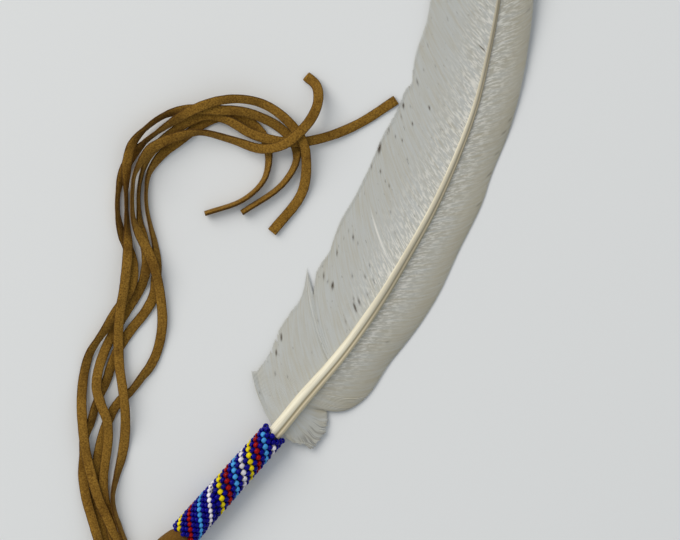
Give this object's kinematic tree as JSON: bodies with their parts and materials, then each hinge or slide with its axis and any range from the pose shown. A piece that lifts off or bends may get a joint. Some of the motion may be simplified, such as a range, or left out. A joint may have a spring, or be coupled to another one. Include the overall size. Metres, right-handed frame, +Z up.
{
  "type": "smudge feather",
  "caption": "Wing feather with a suede-wrapped quill in a sleeve of striped seed beads and loose suede thongs at its end, held in the hand to fan smoke.",
  "frame": {"origin": "on the table under the middle of the feather and handle, the loose thongs left out", "axes": "+Y from the handle's end to the feather's tip, +X towards the narrow vane, +Z up off the table"},
  "size_m": [0.1383, 0.319, 0.0122],
  "materials": {
    "feather": "dry barbs, pale grey with an olive shade",
    "leather_wrap": "suede",
    "beads": "glossy opaque seed beads, navy with coloured stripes",
    "thong": "suede with cut edges"
  },
  "bodies": {
    "root": {"feather": "feather", "leather_wrap": "leather_wrap", "beadwork": "beads", "thong_1": "thong", "thong_2": "thong", "thong_3": "thong", "thong_4": "thong", "thong_5": "thong"}
  },
  "joints": []
}
